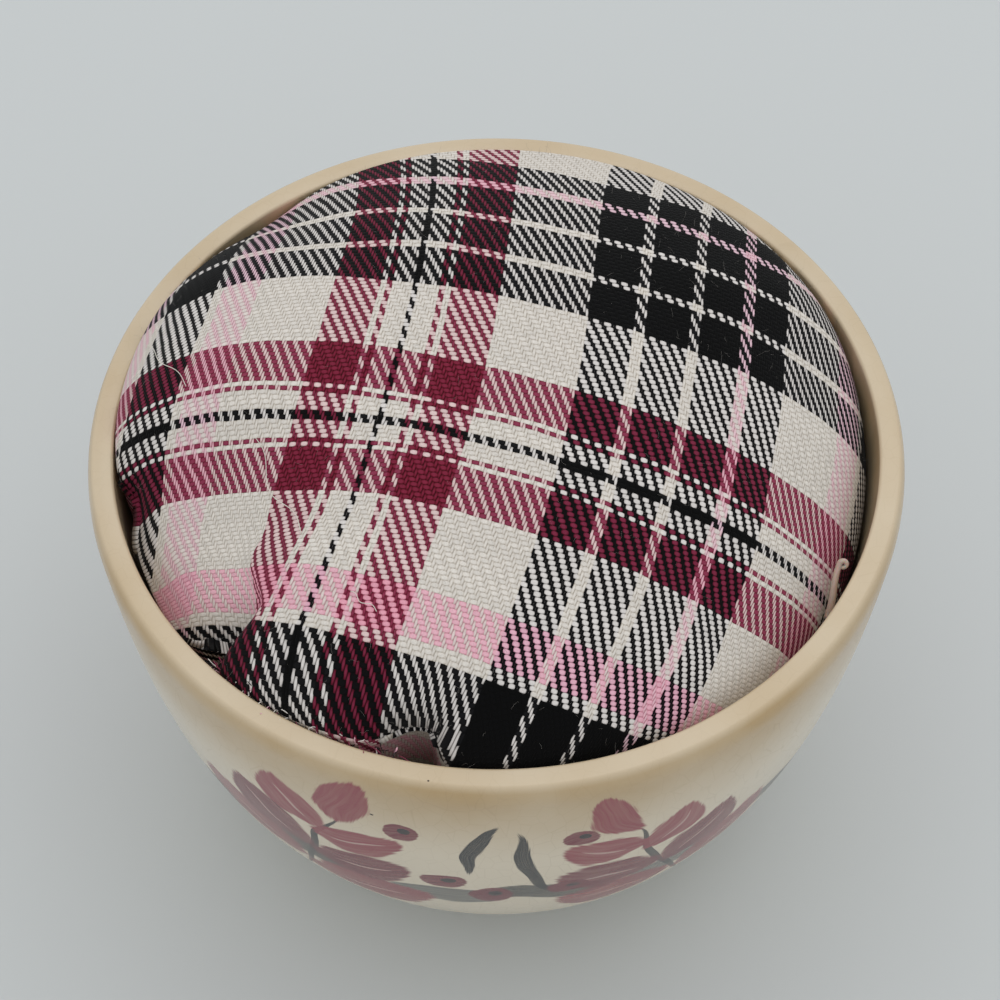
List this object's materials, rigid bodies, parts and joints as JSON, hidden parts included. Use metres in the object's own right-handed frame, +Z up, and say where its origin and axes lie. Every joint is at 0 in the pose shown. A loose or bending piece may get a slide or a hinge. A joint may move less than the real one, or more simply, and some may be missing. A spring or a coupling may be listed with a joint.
{
  "type": "pincushion",
  "caption": "Pincushion: a stuffed cushion of checked twill tucked and glued into a small glazed teacup painted with leaf sprigs and berries. Its crown stands above the rim and holds pins and needles.",
  "frame": {"origin": "centre of the foot ring, on the surface that the cup stands on", "axes": "+Z up, +X to the right and +Y away from the viewer in the picture"},
  "size_m": [0.09, 0.09, 0.0702],
  "materials": {
    "glazed_earthenware": "clear crazed glaze over a cream body, with brush-painted leaf sprigs and berries in mauve and charcoal",
    "checked_twill": "yarn-dyed 2/2 twill checked in white, black, burgundy and pink, with a frayed raw edge",
    "wadding": "loose off-white wadding",
    "hot_melt_glue": "set hot-melt glue, milky and slightly glossy"
  },
  "bodies": {
    "root": {"cup": "glazed_earthenware", "cushion_cover": "checked_twill", "cushion_filling": "wadding", "glue_strand": "hot_melt_glue"}
  },
  "joints": []
}
